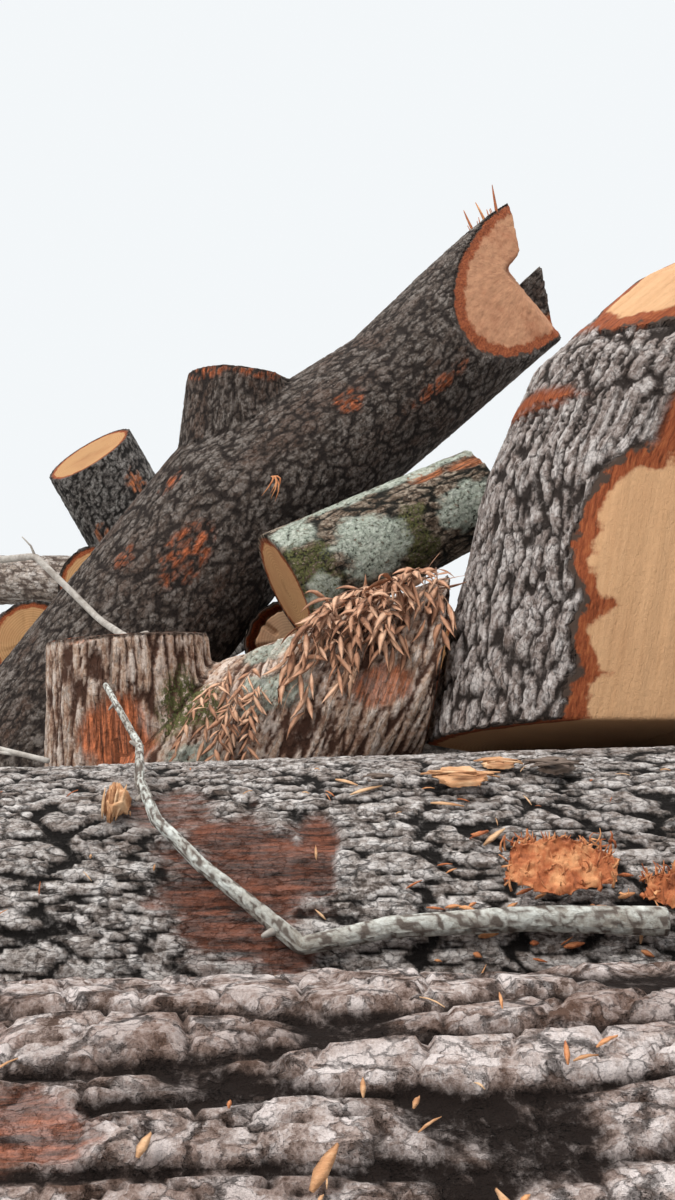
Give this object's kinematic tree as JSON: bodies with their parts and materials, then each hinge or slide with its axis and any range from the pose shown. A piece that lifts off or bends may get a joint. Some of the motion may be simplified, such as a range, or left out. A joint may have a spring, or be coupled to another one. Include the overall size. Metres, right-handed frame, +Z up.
{
  "type": "heap of logs",
  "caption": "Loose heap of furrowed saw logs on the ground with short bolts, a forked broken trunk and a large curved butt log thrown on top, bark on, sawn ends bare.",
  "frame": {"origin": "on the ground under the middle of the heap's bounding box", "axes": "+Z up, +Y from the front log to the back of the heap, +X along the front log to its thick end"},
  "size_m": [4.5926, 4.7645, 2.6312],
  "materials": {
    "furrowed_bark": "rough",
    "grey_bark": "rough",
    "ridged_bark": "rough",
    "dark_bark": "rough",
    "mossy_bark": "rough",
    "branch_bark": "rough",
    "split_wood": "rough",
    "inner_bark": "rough"
  },
  "bodies": {
    "root": {"front_log": "furrowed_bark", "second_log": "grey_bark", "third_log": "grey_bark", "crotch_log": "ridged_bark", "fourth_log": "dark_bark", "fifth_log": "dark_bark", "sixth_log": "dark_bark", "checked_log": "grey_bark", "prop_log": "grey_bark", "lichen_log": "mossy_bark", "forked_trunk": "dark_bark", "butt_log": "ridged_bark", "left_near_log": "dark_bark", "left_middle_log": "dark_bark", "left_far_log": "branch_bark", "standing_bolt": "dark_bark", "long_branch": "branch_bark", "wood_wedge": "split_wood", "wood_chip_1": "split_wood", "wood_chip_2": "split_wood", "wood_chip_3": "dark_bark", "wood_chip_4": "dark_bark", "wood_chip_5": "inner_bark", "bark_slab_1": "inner_bark", "bark_slab_2": "inner_bark"}
  },
  "joints": []
}
